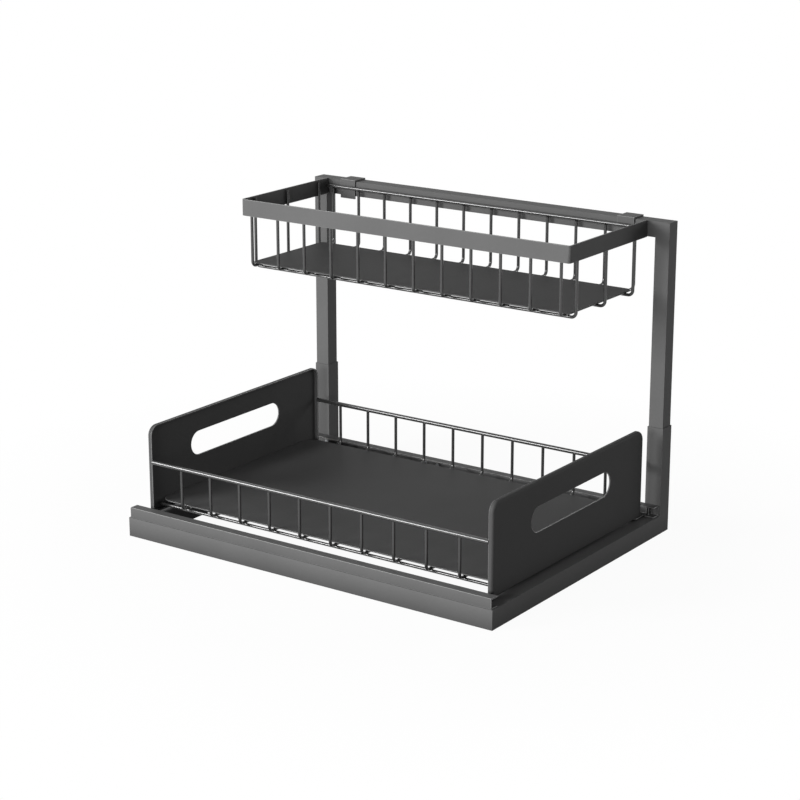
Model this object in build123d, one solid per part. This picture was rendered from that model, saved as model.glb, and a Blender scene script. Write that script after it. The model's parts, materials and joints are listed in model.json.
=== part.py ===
from build123d import *
import os

os.makedirs("parts", exist_ok=True)

# Frame: origin under the middle of the whole organizer, +Z up, -Y the open front side, mm

# Overall sizes of the base and the post frame
base_width = 415.0
base_depth = 314.0
frame_height = 305.0
tube_side = 15.0
tube_wall = 1.2

# Hooks that hang the upper basket on the crossbar
hook_thickness = 1.5
hook_width = 18.2
hook_front_drop = 18.0
hook_rear_drop = 12.0
hook_left_inset = 44.0
hook_right_inset = 47.0
hook_rest_gap = 0.05
hook_side_gap = 0.1

# Rails of the base ring, folded from sheet, open below and mitred at the corners
rail_height = 18.7
side_rail_width = 18.7
front_rail_width = 18.7
rail_wall = 1.2
mitre_reach_share = 0.5

# Slide channels that stand on the front and rear rails
channel_width = 9.7
channel_height = 10.2
channel_wall = 0.8
channel_face_step = 0.6
channel_end_step = 1.6
channel_tab_gap = 0.4
channel_tab_inset = 8.0
channel_tab_thickness = 1.2

# Sockets that the posts are plugged into
socket_side = 16.8
socket_gap = 0.05
socket_height = 87.3

# Gap left at a weld, and play of the running pieces
weld_gap = 0.05
slide_play = 0.04
shoe_side_play = 0.06

# Lower basket
basket_end_inset = 11.15
basket_channel_inset = 16.975
basket_shift_x = -0.15
carrier_lift = 0.3
carrier_thickness = 1.0
carrier_leg_reach = 10.0
carrier_leg_height = 6.6
panel_height = 87.2
panel_sheet = 1.2
panel_flange = 5.0
panel_corner_radius = 10.0
panel_bend_radius = 2.4
slot_length = 138.0
slot_height = 24.0
slot_centre_rise = 52.0

# Glide shoes that run in the channels
shoe_length = 30.0
shoe_thickness = 4.2
shoe_pair_span = 127.0
shoe_rest_gap = 0.2
shoe_edge = 0.6

# Rivets that hold the shoes
rivet_diameter = 2.0
rivet_hole_gap = 0.05
rivet_head_diameter = 4.0
rivet_head_thickness = 0.8
rivet_depth = 2.4
rivet_depth_gap = 0.2
rivet_inset_share = 0.25

# Wires of both baskets
wire_diameter = 3.0
rail_wire_diameter = 4.4
wire_bend_radius = 5.0
tray_thickness = 1.0

# Lower basket wires and tray
lower_wire_count = 10
lower_wire_inset = 37.6
lower_riser_inset = 4.95
lower_rail_rise = 51.3
lower_floor_rise = 8.8
lower_long_inset = 14.4
lower_long_count = 3
lower_tray_inset_y = 12.0
lower_tray_side_gap = 0.6
lower_tray_radius = 14.0

# Upper basket
band_end_inset = 20.85
band_depth = 140.2
band_shift_x = -3.35
band_height = 16.3
band_top_rise = 0.7
band_thickness = 1.5
band_corner_radius = 3.0
band_back_gap = 0.1
upper_floor_drop = 65.5
upper_wire_count = 12
upper_wire_inset = 10.5
upper_long_count = 3
upper_long_inset_front = 17.8
upper_long_inset_rear = 19.0
back_wire_diameter = 3.6
back_wire_drop = 6.6
riser_tuck = 1.0
upper_tray_front_inset = 8.4
upper_tray_rear_inset = 17.0
upper_tray_side_inset = 4.9
upper_tray_radius = 6.0

# Places worked out from the sizes above
half_width = base_width / 2
socket_step = (socket_side - tube_side) / 2
hook_overhang = hook_side_gap + hook_thickness - socket_step
front_y = -(base_depth + hook_overhang) / 2
back_y = front_y + base_depth
crossbar_back_y = back_y - socket_step
crossbar_front_y = crossbar_back_y - tube_side
crossbar_bottom = frame_height - tube_side
socket_front_y = back_y - socket_side
channel_front_y = front_y + channel_face_step
channel_back_y = socket_front_y - weld_gap
rear_rail_front_y = channel_back_y - channel_width
front_rail_back_y = front_y + front_rail_width
ring_inner_half = half_width - side_rail_width
channel_bottom = rail_height
channel_floor = channel_bottom + channel_wall
channel_ceiling = channel_bottom + channel_height - channel_wall
channel_half = half_width - channel_end_step
stop_x = channel_half - channel_tab_inset - channel_tab_thickness
shoe_outer_y = channel_wall + shoe_side_play
leg_outer_y = shoe_outer_y + shoe_thickness


def block(x0, x1, y0, y1, z0, z1):
    # Plain block between two opposite corners
    middle = Pos((x0 + x1) / 2, (y0 + y1) / 2, (z0 + z1) / 2)
    return middle * Box(x1 - x0, y1 - y0, z1 - z0)


def bar_x(x0, x1, y, z, diameter):
    # Round bar along X
    turned = Pos((x0 + x1) / 2, y, z) * Rot(0, 90, 0)
    return turned * Cylinder(diameter / 2, x1 - x0)


def bent_wire(points, radius, diameter):
    # Round wire that follows a bent centre line
    with BuildLine() as centre:
        FilletPolyline(*points, radius=radius)
    start = centre.line @ 0
    heading = centre.line % 0
    section = Plane(origin=start, z_dir=heading) * Circle(diameter / 2)
    return sweep(section, path=centre.line)


def save(shape, node):
    # Store one piece under its own name
    shape.label = node
    export_step(shape, f"parts/{node}.step")


def both_ways(shape, plane):
    # The piece and its mirror image
    return shape, mirror(shape, about=plane)


# Base ring
def folded_ring():
    # Whole ring with an outer wall, an inner wall and a top, open below
    outside = block(-half_width, half_width, front_y, back_y, 0, rail_height)
    opening = block(
        -ring_inner_half,
        ring_inner_half,
        front_rail_back_y,
        rear_rail_front_y,
        -rail_wall,
        rail_height + rail_wall,
    )
    hollow = block(
        rail_wall - half_width,
        half_width - rail_wall,
        front_y + rail_wall,
        back_y - rail_wall,
        -rail_wall,
        rail_height - rail_wall,
    )
    hollow -= block(
        -ring_inner_half - rail_wall,
        ring_inner_half + rail_wall,
        front_rail_back_y - rail_wall,
        rear_rail_front_y + rail_wall,
        -rail_wall,
        rail_height,
    )
    return outside - opening - hollow


def mitre_point(x_side, y_side, share, gap):
    # Point on a corner's mitre line, 0 at its inner end and 1 at its outer end
    inner_y, outer_y = (front_rail_back_y, front_y) if y_side < 0 else (rear_rail_front_y, back_y)
    x = ring_inner_half + share * side_rail_width - gap
    return x_side * x, inner_y + share * (outer_y - inner_y)


def mitred_rail(ring, corners, gap):
    # Part of the ring between the mitre lines of two corners
    outer_share = 1 + mitre_reach_share
    points = [mitre_point(x_side, y_side, outer_share, gap) for x_side, y_side in corners]
    for x_side, y_side in reversed(corners):
        points.append(mitre_point(x_side, y_side, -mitre_reach_share, gap))
    prism = extrude(Polygon(*points, align=None), amount=rail_height + 2 * rail_wall)
    return ring & (Pos(0, 0, -rail_wall) * prism)


def base_ring():
    ring = folded_ring()
    save(mitred_rail(ring, [(-1, -1), (1, -1)], weld_gap), "front_rail")
    save(mitred_rail(ring, [(1, 1), (-1, 1)], weld_gap), "rear_rail")
    save(mitred_rail(ring, [(1, -1), (1, 1)], 0), "right_rail")
    save(mitred_rail(ring, [(-1, 1), (-1, -1)], 0), "left_rail")


# Slide channels
def slide_channel(outer_y, inward):
    # C-shaped channel, open inward, with a stop tab folded in near each end
    inner_y = outer_y + inward * channel_width
    web_y = outer_y + inward * channel_wall
    tab_y = outer_y + inward * (leg_outer_y - channel_tab_gap)
    top = channel_bottom + channel_height
    y0, y1 = sorted((outer_y, inner_y))
    body = block(-channel_half, channel_half, y0, y1, channel_bottom, top)
    y0, y1 = sorted((web_y, inner_y + inward * channel_wall))
    body -= block(-half_width, half_width, y0, y1, channel_floor, channel_ceiling)
    y0, y1 = sorted((outer_y, tab_y))
    for side in (-1, 1):
        x0, x1 = sorted((side * stop_x, side * (stop_x + channel_tab_thickness)))
        body += block(x0, x1, y0, y1, channel_bottom, top)
    return body


def slide_channels():
    save(slide_channel(channel_front_y, 1), "front_slide_channel")
    save(slide_channel(channel_back_y, -1), "rear_slide_channel")


# Post frame
def square_tube(length):
    # Square tube along Z, standing on the origin
    outside = Box(tube_side, tube_side, length)
    inner_side = tube_side - 2 * tube_wall
    inside = Box(inner_side, inner_side, length + tube_wall)
    return Pos(0, 0, length / 2) * (outside - inside)


def post_x():
    # Middle of the right post
    return half_width - socket_side / 2


def post_y():
    # Middle of both posts, flush at the back with the crossbar
    return back_y - socket_side / 2


def post_sockets():
    inner_side = tube_side + 2 * socket_gap
    outside = Box(socket_side, socket_side, socket_height)
    inside = Box(inner_side, inner_side, socket_height + tube_wall)
    middle_z = rail_height + socket_height / 2
    socket = Pos(post_x(), post_y(), middle_z) * (outside - inside)
    right, left = both_ways(socket, Plane.YZ)
    save(right, "right_post_socket")
    save(left, "left_post_socket")


def post_frame():
    # Two posts and a crossbar, mitred where they meet
    length = frame_height - rail_height
    post = Pos(post_x(), post_y(), rail_height) * square_tube(length)
    bar_length = 2 * post_x() + tube_side
    bar = Rot(0, 90, 0) * square_tube(bar_length)
    bar = Pos(-bar_length / 2, post_y(), frame_height - tube_side / 2) * bar
    corner_x = post_x() + tube_side / 2
    inner_x = corner_x - tube_side
    with BuildSketch(Plane.XZ) as corner:
        with BuildLine():
            Polyline(
                (inner_x, crossbar_bottom),
                (corner_x, frame_height),
                (inner_x, frame_height),
                close=True,
            )
        make_face()
    upper_half = extrude(corner.sketch, amount=base_depth, both=True)
    with BuildSketch(Plane.XZ) as corner:
        with BuildLine():
            Polyline(
                (inner_x, crossbar_bottom),
                (corner_x, frame_height),
                (corner_x, crossbar_bottom),
                close=True,
            )
        make_face()
    lower_half = extrude(corner.sketch, amount=base_depth, both=True)
    post -= upper_half
    bar -= lower_half
    bar -= mirror(lower_half, about=Plane.YZ)
    right, left = both_ways(post, Plane.YZ)
    save(right, "right_post")
    save(left, "left_post")
    save(bar, "crossbar")


# Lower basket
basket_width = base_width - 2 * basket_end_inset
basket_x0 = basket_shift_x - basket_width / 2
basket_x1 = basket_shift_x + basket_width / 2
basket_y0 = channel_front_y + basket_channel_inset
basket_y1 = channel_back_y - basket_channel_inset
basket_depth = basket_y1 - basket_y0
basket_middle_y = (basket_y0 + basket_y1) / 2
carrier_bottom = channel_floor + carrier_lift
panel_bottom = carrier_bottom + carrier_thickness
carrier_x0 = -stop_x + shoe_rest_gap


def end_panel():
    # Right panel: sheet with a flange turned inward on every edge and a hand slot
    with BuildSketch(Plane.YZ) as outline:
        with Locations((basket_middle_y, panel_bottom + panel_height / 2)):
            Rectangle(basket_depth, panel_height)
        top_corners = outline.vertices().group_by(Axis.Y)[-1]
        fillet(top_corners, panel_corner_radius)
    slab = extrude(outline.sketch, amount=-panel_flange)
    slab = fillet(slab.faces().sort_by(Axis.X)[-1].edges(), panel_bend_radius)
    hollow = offset(outline.sketch, amount=-panel_sheet)
    pocket = extrude(hollow, amount=-panel_flange)
    pocket = fillet(pocket.faces().sort_by(Axis.X)[-1].edges(), panel_bend_radius - panel_sheet)
    pocket = Pos(-panel_sheet, 0, 0) * pocket
    slot_z = panel_bottom + slot_centre_rise
    with BuildSketch(Plane.YZ) as slot:
        with Locations((basket_middle_y, slot_z)):
            SlotOverall(slot_length, slot_height)
    opening = extrude(slot.sketch, amount=panel_flange, both=True)
    return Pos(basket_x1, 0, 0) * (slab - pocket - opening)


def end_panels():
    right = end_panel()
    save(right, "right_end_panel")
    left = mirror(right, about=Plane.YZ)
    save(Pos(2 * basket_shift_x, 0, 0) * left, "left_end_panel")


def rivet_places():
    # Middles of the rivets along a carrier
    places = []
    for shoe in (0, 1):
        shoe_x0 = carrier_x0 + shoe * shoe_pair_span
        for share in (rivet_inset_share, 1 - rivet_inset_share):
            places.append(shoe_x0 + share * shoe_length)
    return places


def rivet_height():
    return (channel_floor + channel_ceiling) / 2


def cross_pin(x, outer_y, inward, reach0, reach1, diameter):
    # Round pin along Y, between two distances from the channel's outer face
    y0 = outer_y + inward * reach0
    y1 = outer_y + inward * reach1
    place = Pos(x, (y0 + y1) / 2, rivet_height()) * Rot(90, 0, 0)
    return place * Cylinder(diameter / 2, abs(y1 - y0))


def carrier(outer_y, inward, panel_y):
    # Angle that joins the basket to the shoes: a standing leg and a flat one
    leg_y = outer_y + inward * leg_outer_y
    y0, y1 = sorted((leg_y, leg_y + inward * carrier_thickness))
    body = block(carrier_x0, basket_x1, y0, y1, carrier_bottom, carrier_bottom + carrier_leg_height)
    y0, y1 = sorted((leg_y, panel_y + inward * carrier_leg_reach))
    body += block(basket_x0, basket_x1, y0, y1, carrier_bottom, panel_bottom)
    hole = rivet_diameter + 2 * rivet_hole_gap
    for x in rivet_places():
        reach1 = leg_outer_y + 2 * carrier_thickness
        body -= cross_pin(x, outer_y, inward, leg_outer_y - rivet_depth, reach1, hole)
    return body


def shoe(outer_y, inward, shoe_x0, places):
    # Glide shoe that fills the channel's height with a little play
    y0, y1 = sorted((outer_y + inward * shoe_outer_y, outer_y + inward * leg_outer_y))
    z0 = channel_floor + slide_play
    z1 = channel_ceiling - slide_play
    body = block(shoe_x0, shoe_x0 + shoe_length, y0, y1, z0, z1)
    body = chamfer(body.edges().filter_by(Axis.Y), shoe_edge)
    hole = rivet_diameter + 2 * rivet_hole_gap
    reach0 = leg_outer_y - rivet_depth - rivet_depth_gap
    for x in places:
        body -= cross_pin(x, outer_y, inward, reach0, leg_outer_y + rivet_depth, hole)
    return body


def rivet(x, outer_y, inward):
    # Rivet whose head lies on the inner face of the carrier's leg
    head_y = leg_outer_y + carrier_thickness
    shank = cross_pin(x, outer_y, inward, leg_outer_y - rivet_depth, head_y, rivet_diameter)
    head = cross_pin(x, outer_y, inward, head_y, head_y + rivet_head_thickness, rivet_head_diameter)
    return shank + head


def runners():
    rivets = []
    sides = (
        ("front", channel_front_y, 1, basket_y0),
        ("rear", channel_back_y, -1, basket_y1),
    )
    places = rivet_places()
    for name, outer_y, inward, panel_y in sides:
        save(carrier(outer_y, inward, panel_y), f"{name}_carrier")
        left_x0 = carrier_x0
        right_x0 = carrier_x0 + shoe_pair_span
        save(shoe(outer_y, inward, left_x0, places[:2]), f"{name}_left_shoe")
        save(shoe(outer_y, inward, right_x0, places[2:]), f"{name}_right_shoe")
        for x in places:
            rivets.append(rivet(x, outer_y, inward))
    save(Compound(children=rivets), "shoe_rivets")


def lower_wires():
    # Rail wires between the flanges, bent wires behind them, long wires below
    rail_radius = rail_wire_diameter / 2
    wire_radius = wire_diameter / 2
    rail_z = panel_bottom + lower_rail_rise
    rail_x0 = basket_x0 + panel_flange + weld_gap
    rail_x1 = basket_x1 - panel_flange - weld_gap
    riser_y0 = basket_y0 + lower_riser_inset
    riser_y1 = basket_y1 - lower_riser_inset
    rail_reach = wire_radius + rail_radius + weld_gap
    front_rail_y = riser_y0 - rail_reach
    rear_rail_y = riser_y1 + rail_reach
    for name, y in (("front", front_rail_y), ("rear", rear_rail_y)):
        save(bar_x(rail_x0, rail_x1, y, rail_z, rail_wire_diameter), f"{name}_rail_wire")
    floor_z = panel_bottom + lower_floor_rise
    pitch = (basket_width - 2 * lower_wire_inset) / (lower_wire_count - 1)
    for i in range(lower_wire_count):
        x = basket_x0 + lower_wire_inset + i * pitch
        points = (
            (x, riser_y0, rail_z),
            (x, riser_y0, floor_z),
            (x, riser_y1, floor_z),
            (x, riser_y1, rail_z),
        )
        wire = bent_wire(points, wire_bend_radius, wire_diameter)
        save(wire, f"lower_bent_wire_{i + 1}")
    long_z = floor_z - wire_diameter - weld_gap
    long_x0 = basket_x0 + panel_sheet + weld_gap
    long_x1 = basket_x1 - panel_sheet - weld_gap
    long_pitch = (basket_depth - 2 * lower_long_inset) / (lower_long_count - 1)
    for i in range(lower_long_count):
        y = basket_y0 + lower_long_inset + i * long_pitch
        save(bar_x(long_x0, long_x1, y, long_z, wire_diameter), f"lower_long_wire_{i + 1}")


def rounded_tray(x0, x1, y0, y1, z0, radius):
    # Flat sheet with rounded corners
    tray = block(x0, x1, y0, y1, z0, z0 + tray_thickness)
    return fillet(tray.edges().filter_by(Axis.Z), radius)


def lower_tray():
    floor_top = panel_bottom + lower_floor_rise + wire_diameter / 2 + weld_gap
    side = panel_sheet + lower_tray_side_gap
    tray = rounded_tray(
        basket_x0 + side,
        basket_x1 - side,
        basket_y0 + lower_tray_inset_y,
        basket_y1 - lower_tray_inset_y,
        floor_top,
        lower_tray_radius,
    )
    save(tray, "lower_tray")


# Upper basket
band_width = base_width - 2 * band_end_inset
band_x0 = band_shift_x - band_width / 2
band_x1 = band_shift_x + band_width / 2
band_y1 = crossbar_front_y - band_back_gap
band_y0 = band_y1 - band_depth
band_top = frame_height + band_top_rise
band_bottom = band_top - band_height
hook_front_y = crossbar_front_y - hook_side_gap - hook_thickness
back_wire_y = hook_front_y - weld_gap - back_wire_diameter / 2
back_wire_z = frame_height - back_wire_drop
upper_floor_z = frame_height - upper_floor_drop
riser_front_y = band_y0 + band_thickness + weld_gap + wire_diameter / 2
riser_rear_y = back_wire_y - riser_tuck


def band():
    # Flat strip bent round the left, front and right sides
    outer = block(band_x0, band_x1, band_y0, band_y1, band_bottom, band_top)
    front_edges = outer.edges().filter_by(Axis.Z).group_by(Axis.Y)[0]
    outer = fillet(front_edges, band_corner_radius)
    inner = block(
        band_x0 + band_thickness,
        band_x1 - band_thickness,
        band_y0 + band_thickness,
        band_y1 + band_thickness,
        band_bottom - band_thickness,
        band_top + band_thickness,
    )
    inner_edges = inner.edges().filter_by(Axis.Z).group_by(Axis.Y)[0]
    inner = fillet(inner_edges, band_corner_radius - band_thickness)
    save(outer - inner, "upper_band")


def hook(x):
    # Strip folded over the crossbar
    x0 = x - hook_width / 2
    x1 = x + hook_width / 2
    top0 = frame_height + hook_rest_gap
    top1 = top0 + hook_thickness
    rear_y0 = crossbar_back_y + hook_side_gap
    rear_y1 = rear_y0 + hook_thickness
    top = block(x0, x1, hook_front_y, rear_y1, top0, top1)
    front_y1 = hook_front_y + hook_thickness
    front = block(x0, x1, hook_front_y, front_y1, frame_height - hook_front_drop, top1)
    rear = block(x0, x1, rear_y0, rear_y1, frame_height - hook_rear_drop, top1)
    return top + front + rear


def hooks():
    save(hook(hook_left_inset - half_width), "left_hook")
    save(hook(half_width - hook_right_inset), "right_hook")


def upper_wires():
    wire_radius = wire_diameter / 2
    inner_x0 = band_x0 + band_thickness + weld_gap
    inner_x1 = band_x1 - band_thickness - weld_gap
    back_wire = bar_x(inner_x0, inner_x1, back_wire_y, back_wire_z, back_wire_diameter)
    save(back_wire, "upper_back_wire")
    rear_top = back_wire_z - back_wire_diameter / 2 - weld_gap
    pitch = (band_width - 2 * upper_wire_inset) / (upper_wire_count - 1)
    for i in range(upper_wire_count):
        x = band_x0 + upper_wire_inset + i * pitch
        points = (
            (x, riser_front_y, band_top - wire_radius),
            (x, riser_front_y, upper_floor_z),
            (x, riser_rear_y, upper_floor_z),
            (x, riser_rear_y, rear_top),
        )
        wire = bent_wire(points, wire_bend_radius, wire_diameter)
        save(wire, f"upper_bent_wire_{i + 1}")
    long_z = upper_floor_z - wire_diameter - weld_gap
    riser_x0 = inner_x0 + wire_radius
    riser_x1 = inner_x1 - wire_radius
    first_y = band_y0 + upper_long_inset_front
    last_y = band_y1 - upper_long_inset_rear
    long_pitch = (last_y - first_y) / (upper_long_count - 1)
    for i in range(upper_long_count):
        y = first_y + i * long_pitch
        points = (
            (riser_x0, y, band_top - wire_radius),
            (riser_x0, y, long_z),
            (riser_x1, y, long_z),
            (riser_x1, y, band_top - wire_radius),
        )
        wire = bent_wire(points, wire_bend_radius, wire_diameter)
        save(wire, f"upper_long_wire_{i + 1}")


def upper_tray():
    floor_top = upper_floor_z + wire_diameter / 2 + weld_gap
    tray = rounded_tray(
        band_x0 + upper_tray_side_inset,
        band_x1 - upper_tray_side_inset,
        band_y0 + upper_tray_front_inset,
        band_y1 - upper_tray_rear_inset,
        floor_top,
        upper_tray_radius,
    )
    save(tray, "upper_tray")


base_ring()
slide_channels()
post_sockets()
post_frame()
end_panels()
runners()
lower_wires()
lower_tray()
band()
hooks()
upper_wires()
upper_tray()
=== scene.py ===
# %% [markdown]
# # An under sink organizer in coated steel
#
# This lesson dresses a small two-tier organizer: a pull-out basket on a low
# base ring, and a wire basket that hangs on a rear post frame. Its shapes are
# already right in the imported model, so the lesson is about finish: how coats
# of paint on sheet and wire take the light, and how to light dark metal.
# The first cell loads the model as a fixed frame, in metres, and measures it.

# %% Load the frame
import json
import math

import bpy
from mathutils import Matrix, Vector

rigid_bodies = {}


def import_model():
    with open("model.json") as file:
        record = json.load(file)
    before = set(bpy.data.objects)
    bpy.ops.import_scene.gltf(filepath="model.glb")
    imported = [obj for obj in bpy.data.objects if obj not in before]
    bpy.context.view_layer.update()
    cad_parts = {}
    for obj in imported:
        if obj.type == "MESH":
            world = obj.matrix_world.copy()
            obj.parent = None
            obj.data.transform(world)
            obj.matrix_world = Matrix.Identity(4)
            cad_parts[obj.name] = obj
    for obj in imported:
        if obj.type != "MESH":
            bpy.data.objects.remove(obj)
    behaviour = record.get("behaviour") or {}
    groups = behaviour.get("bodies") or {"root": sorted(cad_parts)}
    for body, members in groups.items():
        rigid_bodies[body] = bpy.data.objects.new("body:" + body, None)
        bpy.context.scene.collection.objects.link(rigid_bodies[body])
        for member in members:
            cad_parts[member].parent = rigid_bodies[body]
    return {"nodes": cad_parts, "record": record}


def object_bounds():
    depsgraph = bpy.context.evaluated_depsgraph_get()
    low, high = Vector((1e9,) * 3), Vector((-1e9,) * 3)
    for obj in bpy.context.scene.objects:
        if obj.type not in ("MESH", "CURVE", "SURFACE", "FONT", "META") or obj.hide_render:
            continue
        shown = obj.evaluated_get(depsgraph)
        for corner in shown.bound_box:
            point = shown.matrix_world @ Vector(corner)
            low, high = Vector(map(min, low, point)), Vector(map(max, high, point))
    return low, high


for leftover in list(bpy.data.objects):
    bpy.data.objects.remove(leftover)
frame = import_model()
nodes = frame["nodes"]
cad_low, cad_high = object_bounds()
MM = 0.001
print("box in mm:", [round(v / MM, 1) for v in cad_high - cad_low])

# %% [markdown]
# ## Camera
#
# The organizer is seen from its front right, a little above the baskets. The
# place of the camera came from matching the corners of the base, the panels
# and the posts. The match gave a long lens far away, as catalogue pictures
# use: the near corner of the base doesn't swell, and the posts stay almost
# parallel. The lens is not shifted, so the posts lean a little, where a
# shifted one would draw them quite upright.

# %% Set the camera
CAMERA_PLACE = Vector((1.1372, -1.6133, 0.7140))
CAMERA_TURN_DEG = 35.18
CAMERA_TILT_DEG = 16.39
CAMERA_LENS_MM = 97.47
SENSOR_MM = 36.0

camera_data = bpy.data.cameras.new("catalogue_camera")
camera_data.sensor_width = SENSOR_MM
camera_data.lens = CAMERA_LENS_MM
camera = bpy.data.objects.new("catalogue_camera", camera_data)
camera.location = CAMERA_PLACE
camera.rotation_euler = (math.radians(90 - CAMERA_TILT_DEG), 0, math.radians(CAMERA_TURN_DEG))
bpy.context.scene.collection.objects.link(camera)
bpy.context.scene.camera = camera
print("camera distance in mm:", round(CAMERA_PLACE.length / MM))

# %% [markdown]
# ## Tools for the materials
#
# Two helpers carry the rest of the lesson. The first turns the hex colours
# that people write down, which are sRGB, into the linear numbers that Blender
# mixes with. The second adds one shader node with its settings and its
# inputs, where an input is either a number or the socket that feeds it.

# %% Colour and node helpers
SRGB_KNEE = 0.04045
SRGB_SLOPE = 12.92
SRGB_OFFSET = 0.055
SRGB_POWER = 2.4


def linear(hex_colour):
    """An sRGB hex colour as linear red, green, blue and alpha."""
    channels = []
    for start in (1, 3, 5):
        value = int(hex_colour[start:start + 2], 16) / 255
        if value <= SRGB_KNEE:
            channels.append(value / SRGB_SLOPE)
        else:
            channels.append(((value + SRGB_OFFSET) / (1 + SRGB_OFFSET)) ** SRGB_POWER)
    return (*channels, 1.0)


def add_node(tree, kind, settings=None, **inputs):
    """Adds one node. An input's name has _ for a space, and n0, n1 mean its number."""
    made = tree.nodes.new(kind)
    for name, value in (settings or {}).items():
        setattr(made, name, value)
    for name, value in inputs.items():
        if name[0] == "n" and name[1:].isdigit():
            socket = made.inputs[int(name[1:])]
        else:
            socket = made.inputs[name.replace("_", " ")]
        if isinstance(value, bpy.types.NodeSocket):
            tree.links.new(value, socket)
        else:
            socket.default_value = value
    return made


print("mid grey #808080 is linear", round(linear("#808080")[0], 3))

# %% [markdown]
# ## What a coat of paint looks like
#
# Every steel surface here is coated. A sprayed and baked coat is never one
# flat colour: it is a little thicker here and thinner there, which shows as a
# slow drift of tone, its powder melts into a fine peel, which breaks up the
# gloss, and its pigment leaves a fine grain. One function builds all three
# layers, because the coats differ only in colour, gloss and grain. Noise in
# object space was chosen over an unwrapped picture: it needs no seams, and it
# stays on the metal when a basket moves.

# %% Coat material
PAINT_IOR = 1.5
DRIFT_MM = 70.0
DRIFT_DETAIL = 2.0
GRAIN_DETAIL = 3.0
PEEL_DETAIL = 1.0


def baked_coat(name, colour_hex, drift_share, roughness, roughness_share,
               grain_mm, grain_share, peel_mm, peel_height_mm, specular, painted_shade_at_foot=1.0):
    """A painted or powder coated surface. Shares are of the colour or roughness; the share at
    the foot is painted shade, darker towards the bottom.
    """
    material = bpy.data.materials.new(name)
    material.use_nodes = True
    tree = material.node_tree
    shader = tree.nodes["Principled BSDF"]
    place = add_node(tree, "ShaderNodeTexCoord")
    drift = add_node(tree, "ShaderNodeTexNoise", Vector=place.outputs["Object"],
                     Scale=1 / (DRIFT_MM * MM), Detail=DRIFT_DETAIL)
    grain = add_node(tree, "ShaderNodeTexNoise", Vector=place.outputs["Object"],
                     Scale=1 / (grain_mm * MM), Detail=GRAIN_DETAIL)
    tone = add_node(tree, "ShaderNodeMapRange", Value=drift.outputs["Fac"],
                    To_Min=1 - drift_share, To_Max=1 + drift_share)
    speck = add_node(tree, "ShaderNodeMapRange", Value=grain.outputs["Fac"],
                     To_Min=1 - grain_share, To_Max=1 + grain_share)
    both = add_node(tree, "ShaderNodeMath", {"operation": "MULTIPLY"},
                    n0=tone.outputs["Result"], n1=speck.outputs["Result"])
    # painted shade: the colour darkens towards the bottom of the piece, down to the share given
    # for its foot
    height = add_node(tree, "ShaderNodeSeparateXYZ", Vector=place.outputs["Generated"])
    painted_foot_shade = add_node(tree, "ShaderNodeMapRange", Value=height.outputs["Z"],
                    To_Min=painted_shade_at_foot, To_Max=1.0)
    tone_and_painted_shade = add_node(tree, "ShaderNodeMath", {"operation": "MULTIPLY"},
                     n0=both.outputs["Value"], n1=painted_foot_shade.outputs["Result"])
    colour = add_node(tree, "ShaderNodeVectorMath", {"operation": "SCALE"},
                      n0=linear(colour_hex)[:3], Scale=tone_and_painted_shade.outputs["Value"])
    tree.links.new(colour.outputs["Vector"], shader.inputs["Base Color"])
    gloss = add_node(tree, "ShaderNodeMapRange", Value=grain.outputs["Fac"],
                     To_Min=roughness * (1 - roughness_share),
                     To_Max=roughness * (1 + roughness_share))
    tree.links.new(gloss.outputs["Result"], shader.inputs["Roughness"])
    peel = add_node(tree, "ShaderNodeTexNoise", Vector=place.outputs["Object"],
                    Scale=1 / (peel_mm * MM), Detail=PEEL_DETAIL)
    bump = add_node(tree, "ShaderNodeBump", Distance=peel_height_mm * MM,
                    Height=peel.outputs["Fac"])
    tree.links.new(bump.outputs["Normal"], shader.inputs["Normal"])
    shader.inputs["IOR"].default_value = PAINT_IOR
    shader.inputs["Specular IOR Level"].default_value = specular
    return material


print("coat drift repeats about every", DRIFT_MM, "mm")

# %% [markdown]
# ## Gunmetal coat on the frame
#
# The base ring, channels, carriers, post frame, band and hooks are steel with
# a satin gunmetal coat. Although it is named for a metal it is a baked paint,
# so it is made as a paint: no metallic share and an IOR of 1.5. A real paint
# has a specular level near 0.5. In this white room that made the faces turned
# away from the lamps too pale, so it was lowered far below a real paint's,
# which suits this room only. Its grain is finer than the picture can show and
# is drawn coarser.
#
# The rails of the base ring look about three fifths as bright at the foot as
# at the top, most likely because less light gets down there. Lamps that stand
# over two metres off light so low a rail evenly, so the fall is written into
# the paint instead. The price is that it stays there in any other light. The
# settings that all three satin paints share are kept together.

# %% Gunmetal coat
SATIN = {
    "drift_share": 0.12,
    "roughness": 0.45,
    "roughness_share": 0.12,
    "grain_mm": 2.4,
    "grain_share": 0.04,
    "peel_mm": 5.0,
    "peel_height_mm": 0.03,
    "specular": 0.05,
}
# satin baked paint: gives the eye soft mid greys that fall off quickly round a corner
gunmetal = baked_coat("satin_gunmetal_baked_paint", "#5A5A5A", **SATIN)
# the same paint, thinner and smoother on a folded edge, with a painted highlight in its paler
# colour: gives the eye a fine pale line
gunmetal_edge_painted_highlight = baked_coat("gunmetal_paint_thin_at_edges_with_painted_highlight", "#747474",
                           drift_share=0.06, roughness=0.36, roughness_share=0.12,
                           grain_mm=2.4, grain_share=0.06,
                           peel_mm=5.0, peel_height_mm=0.02, specular=0.4)
# the same paint with the light's fall in it: gives the eye rails that darken to the floor
gunmetal_rail_painted_shade = baked_coat("satin_gunmetal_paint_with_painted_shade_on_rails", "#5C5C5C", **SATIN, painted_shade_at_foot=0.56)
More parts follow.
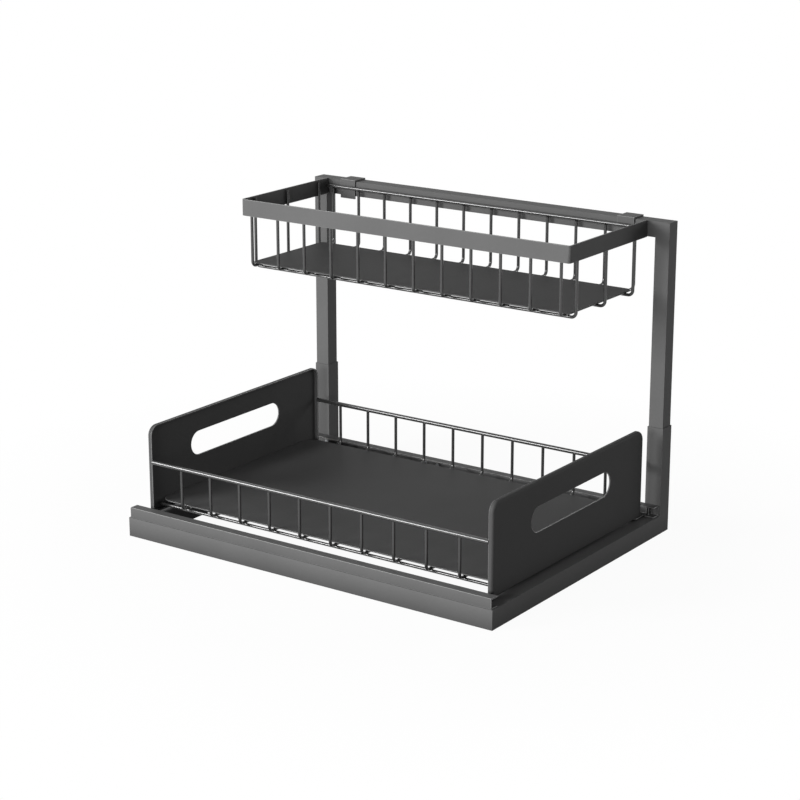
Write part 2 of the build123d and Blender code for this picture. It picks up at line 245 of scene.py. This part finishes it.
# the same paint on the slide channels, with a little painted shade: gives the eye a face that
# darkens towards the bottom
gunmetal_channel_painted_shade = baked_coat("satin_gunmetal_paint_with_painted_shade_on_channels", "#5A5A5A", **SATIN,
                              painted_shade_at_foot=0.80)
for coat in (gunmetal, gunmetal_edge_painted_highlight, gunmetal_rail_painted_shade, gunmetal_channel_painted_shade):
    print("made", coat.name)

# %% [markdown]
# ## Black coat on sheet
#
# The two end panels and the floors of both baskets are pressed from sheet
# with a fine textured black powder coat. Its rough skin scatters the light,
# so a floor looks evenly dark and shows no lamp. Pure black was not used: the
# charcoal here sends back about seven parts in a hundred of the light, and
# one much darker would swallow the folds of the panels.

# %% Black coat on sheet
# textured powder coat: gives the eye a flat, slightly dusty charcoal
sheet_black = baked_coat("fine_textured_black_powder_coat", "#494949",
                         drift_share=0.08, roughness=0.56, roughness_share=0.12,
                         grain_mm=1.8, grain_share=0.08,
                         peel_mm=2.4, peel_height_mm=0.04, specular=0.04)
# the coat on a folded edge, thinner and smoother, with a painted highlight in its paler colour:
# gives the eye a fine grey line
sheet_edge_painted_highlight = baked_coat("black_powder_coat_thin_at_edges_with_painted_highlight", "#7E7E7E",
                        drift_share=0.06, roughness=0.30, roughness_share=0.12,
                        grain_mm=1.8, grain_share=0.06,
                        peel_mm=2.4, peel_height_mm=0.02, specular=0.6)
for coat in (sheet_black, sheet_edge_painted_highlight):
    print("made", coat.name, "with linear grey",
          round(coat.node_tree.nodes["Vector Math"].inputs[0].default_value[0], 3))

# %% [markdown]
# ## Coated wire
#
# The wires are drawn steel with a smoother coat than the sheet. On a thin
# round bar a gloss of this kind gathers every lamp into one bright line, and
# that line is what lets a dark wire be seen against a dark floor. A low
# roughness does it better than a paler colour, which would turn the shaded
# side of the wire grey as well.

# %% Coated wire
# semi-gloss coat on round wire: gives the eye a bright core with dark sides
wire_black = baked_coat("semi_gloss_coated_wire", "#2E2E2E",
                        drift_share=0.05, roughness=0.20, roughness_share=0.15,
                        grain_mm=2.0, grain_share=0.08,
                        peel_mm=3.0, peel_height_mm=0.02, specular=0.7)
print("made", wire_black.name)

# %% [markdown]
# ## Glide nylon and rivet steel
#
# The shoes that run in the channels are moulded from natural nylon, a milky
# off-white that turns a little yellow, and each is held by rivets of zinc
# plated steel. Both are nearly hidden, yet they get their own finish, because
# they come into view when the basket is pulled out and seen from the side.
# The zinc is a bare metal: its metallic share is 1 and its IOR stays at the
# default, because its colour alone sets how much it reflects.

# %% Glide nylon and rivet steel
# natural nylon: gives the eye a soft waxy off-white
nylon = baked_coat("moulded_glide_nylon", "#C9C6BC",
                   drift_share=0.03, roughness=0.45, roughness_share=0.10,
                   grain_mm=1.5, grain_share=0.03,
                   peel_mm=3.0, peel_height_mm=0.02, specular=0.5)
# zinc plate: gives the eye small cool glints on the rivet heads
rivet = baked_coat("zinc_plated_rivet_steel", "#B4B6B8",
                   drift_share=0.03, roughness=0.35, roughness_share=0.15,
                   grain_mm=0.8, grain_share=0.05,
                   peel_mm=1.0, peel_height_mm=0.01, specular=0.5)
rivet.node_tree.nodes["Principled BSDF"].inputs["Metallic"].default_value = 1.0
for finish in (nylon, rivet):
    print("made", finish.name)

# %% [markdown]
# ## Put the finishes on the pieces
#
# The imported model says which finish each piece has, so one table turns those
# words into materials. That is safer than naming fifty pieces one by one, and
# a new piece would be dressed without a new line. The rails and the channels
# are then dressed again, in the two paints with painted shade that darkens
# them towards the floor.

# %% Put the finishes on the pieces
FINISHES = {
    "gunmetal_coated_steel": gunmetal,
    "black_coated_sheet": sheet_black,
    "coated_wire": wire_black,
    "glide_nylon": nylon,
    "rivet_steel": rivet,
}
dressed = dict.fromkeys(FINISHES, 0)
for piece in frame["record"]["subparts"]:
    thing = nodes[piece["node"]]
    thing.material_slots[0].material = FINISHES[piece["material_slot"]]
    dressed[piece["material_slot"]] += 1
# painted shade: the rails and channels take the copies of the paint that darken towards the
# floor
for node in ("front_rail", "rear_rail", "left_rail", "right_rail"):
    nodes[node].material_slots[0].material = gunmetal_rail_painted_shade
for node in ("front_slide_channel", "rear_slide_channel"):
    nodes[node].material_slots[0].material = gunmetal_channel_painted_shade
print("pieces with each finish:", dressed)

# %% [markdown]
# ## Soften the cut edges
#
# Sheet that has been cut and coated has no razor edge: the coat rounds it by
# a third of a millimetre, and a thin line of light runs along it. A bevel
# modifier draws that roundness without touching the mesh, and gives the
# rounded strip the edge coat, whose paler colour is a painted highlight. It
# needs joined corners, so a weld modifier goes before it. The rails and the
# post frame are left out, because they meet in flush mitres, where a rounded
# edge would draw a groove that isn't there.

# %% Soften the cut edges
EDGE_ROUND_MM = 0.35
WELD_REACH_MM = 0.002
EDGE_SEGMENTS = 2
EDGE_ANGLE_DEG = 40
SOFT_EDGES_WITH_PAINTED_HIGHLIGHT = {
    "front_slide_channel": gunmetal_edge_painted_highlight,
    "rear_slide_channel": gunmetal_edge_painted_highlight,
    "upper_band": gunmetal_edge_painted_highlight,
    "left_hook": gunmetal_edge_painted_highlight,
    "right_hook": gunmetal_edge_painted_highlight,
    "left_end_panel": sheet_edge_painted_highlight,
    "right_end_panel": sheet_edge_painted_highlight,
    "front_carrier": gunmetal_edge_painted_highlight,
    "rear_carrier": gunmetal_edge_painted_highlight,
    "lower_tray": sheet_edge_painted_highlight,
    "upper_tray": sheet_edge_painted_highlight,
}
for node, edge_coat_with_painted_highlight in SOFT_EDGES_WITH_PAINTED_HIGHLIGHT.items():
    thing = nodes[node]
    thing.data.materials.append(edge_coat_with_painted_highlight)
    join = thing.modifiers.new("join_faces", "WELD")
    join.merge_threshold = WELD_REACH_MM * MM
    soft = thing.modifiers.new("round_edges", "BEVEL")
    soft.width = EDGE_ROUND_MM * MM
    soft.segments = EDGE_SEGMENTS
    soft.limit_method = "ANGLE"
    soft.angle_limit = math.radians(EDGE_ANGLE_DEG)
    soft.harden_normals = True
    # the bevel's faces take the paler edge coat: a painted highlight along the edge
    soft.material = len(thing.data.materials) - 1
print("pieces with softened edges:", len(SOFT_EDGES_WITH_PAINTED_HIGHLIGHT))

# %% [markdown]
# ## The rays that see the background
#
# Blender traces a ray for each thing that light does, and a shader can ask
# which kind of ray has met it. The camera's rays, those that a gloss throws
# back and those that pass through glass should all see the white background.
# The rays that only light a surface should not, or a white room would flood
# the dark metal. The helper tells the two kinds apart for the floor and room.

# %% The rays that see the background
WHITE = linear("#FFFFFF")


def shows_background(tree):
    """1 for the rays that see the background: of the camera, of a gloss, through glass."""
    rays = add_node(tree, "ShaderNodeLightPath")
    gloss = add_node(tree, "ShaderNodeMath", {"operation": "MAXIMUM"},
                     n0=rays.outputs["Is Camera Ray"], n1=rays.outputs["Is Glossy Ray"])
    glass = add_node(tree, "ShaderNodeMath", {"operation": "MAXIMUM"},
                     n0=gloss.outputs["Value"], n1=rays.outputs["Is Transmission Ray"])
    return glass.outputs["Value"]


print("background white is linear", WHITE[:3])

# %% [markdown]
# ## Floor
#
# The organizer stands on a pale studio floor that melts into a white
# background. The camera, and anything that mirrors or lets light through,
# sees almost only plain white there, with a thin layer of the real floor left
# in it that keeps the soft shadow of the base. The light that the floor
# throws back up is held lower, as a grey card would, so that the undersides
# and the faces turned away from the lamps stay as dark as dark metal does.

# %% Floor
FLOOR_RADIUS = 15.0
FLOOR_SIDES = 96
FLOOR_ROUGHNESS = 0.8
FLOOR_SPECULAR = 0.1
FLOOR_THROWS_BACK = "#7C7C7C"
FLOOR_LOOKS = "#F4F4F4"
WHITE_NEAR = 0.95
WHITE_FAR = 1.0
WHITE_NEAR_REACH = 0.30
WHITE_FAR_REACH = 0.55

bpy.ops.mesh.primitive_circle_add(vertices=FLOOR_SIDES, radius=FLOOR_RADIUS, fill_type="NGON")
floor = bpy.context.object
floor.name = "studio_floor"
floor_paint = bpy.data.materials.new("pale_studio_floor")
floor_paint.use_nodes = True
tree = floor_paint.node_tree
shader = tree.nodes["Principled BSDF"]
shader.inputs["Roughness"].default_value = FLOOR_ROUGHNESS
shader.inputs["Specular IOR Level"].default_value = FLOOR_SPECULAR
seen = shows_background(tree)
# in a mix of colours, inputs 6 and 7 are the two colours and output 2 is the mix
card = add_node(tree, "ShaderNodeMix", {"data_type": "RGBA"}, Factor=seen,
                n6=linear(FLOOR_THROWS_BACK), n7=linear(FLOOR_LOOKS))
tree.links.new(card.outputs[2], shader.inputs["Base Color"])
place = add_node(tree, "ShaderNodeTexCoord")
reach = add_node(tree, "ShaderNodeVectorMath", {"operation": "LENGTH"},
                 n0=place.outputs["Object"])
fade = add_node(tree, "ShaderNodeMapRange", Value=reach.outputs["Value"],
                From_Min=WHITE_NEAR_REACH, From_Max=WHITE_FAR_REACH,
                To_Min=WHITE_NEAR, To_Max=WHITE_FAR)
share = add_node(tree, "ShaderNodeMath", {"operation": "MULTIPLY"},
                 n0=seen, n1=fade.outputs["Result"])
white = add_node(tree, "ShaderNodeEmission", Color=WHITE, Strength=1.0)
mixed = add_node(tree, "ShaderNodeMixShader", Fac=share.outputs["Value"],
                 n1=shader.outputs["BSDF"], n2=white.outputs["Emission"])
tree.links.new(mixed.outputs["Shader"], tree.nodes["Material Output"].inputs["Surface"])
floor.data.materials.append(floor_paint)
print("floor radius in m:", FLOOR_RADIUS)

# %% [markdown]
# ## Room
#
# Beyond the floor the room is white to the camera and to reflections, and a
# dim even grey to everything else. That dim share is what fills the shadows:
# a brighter room would flatten the folds of the sheet.

# %% Room
ROOM_LEVEL = 0.12
world = bpy.data.worlds.new("studio_room")
bpy.context.scene.world = world
world.use_nodes = True
tree = world.node_tree
tree.nodes.clear()
room = add_node(tree, "ShaderNodeBackground", Color=WHITE, Strength=ROOM_LEVEL)
white = add_node(tree, "ShaderNodeBackground", Color=WHITE, Strength=1.0)
mixed = add_node(tree, "ShaderNodeMixShader", Fac=shows_background(tree),
                 n1=room.outputs["Background"], n2=white.outputs["Background"])
add_node(tree, "ShaderNodeOutputWorld", Surface=mixed.outputs["Shader"])
print("room level:", ROOM_LEVEL)

# %% [markdown]
# ## Lamps
#
# Three soft boxes light the organizer, all low. The main one stands at the
# front left, where the wires that run along the front throw it back to the
# camera as a bright line. A weaker one straight in front reaches the right
# post, which the upper basket would otherwise leave in shade. So the front
# faces are the palest and those on the right darker, which makes the square
# posts read as square. The weakest stands behind at the right, because
# without it the back would be a black outline. Seen from the front it lifts
# the dark faces on the right a little. A high lamp was left out, because on
# the real one the top faces stay dim. One small function makes a lamp from
# where it stands and from the level that it gives, which is easier to judge
# than watts.

# %% Lamps
def soft_box(name, azimuth_deg, elevation_deg, distance, width, height, level):
    """A soft lamp aimed at the organizer. Level 1 shows a white card facing it as white."""
    azimuth = math.radians(azimuth_deg)
    elevation = math.radians(elevation_deg)
    aim = Vector((0, 0, (cad_high.z - cad_low.z) / 2))
    back = Vector((math.sin(azimuth) * math.cos(elevation),
                   -math.cos(azimuth) * math.cos(elevation), math.sin(elevation)))
    lamp = bpy.data.lights.new(name, "AREA")
    lamp.shape = "RECTANGLE"
    lamp.size = width
    lamp.size_y = height
    lamp.energy = level * math.pi ** 2 * distance ** 2
    holder = bpy.data.objects.new(name, lamp)
    holder.location = aim + back * distance
    holder.rotation_euler = back.to_track_quat("Z", "Y").to_euler()
    holder.visible_camera = False
    bpy.context.scene.collection.objects.link(holder)
    return holder


key = soft_box("front_left_soft_box", azimuth_deg=-36, elevation_deg=18,
               distance=2.2, width=0.9, height=0.8, level=1.00)
fill = soft_box("front_soft_box", azimuth_deg=0, elevation_deg=8,
                distance=2.4, width=1.0, height=0.7, level=0.92)
far = soft_box("rear_right_soft_box", azimuth_deg=148, elevation_deg=12,
               distance=2.4, width=1.1, height=0.9, level=0.25)
for lamp in (key, fill, far):
    print(lamp.name, "gives", round(lamp.data.energy), "W")

# %% [markdown]
# ## Finish
#
# The standard view transform shows a colour about as it was written, which
# suits a plain product picture better than a film-like one.

# %% Finish
bpy.context.scene.view_settings.view_transform = "Standard"
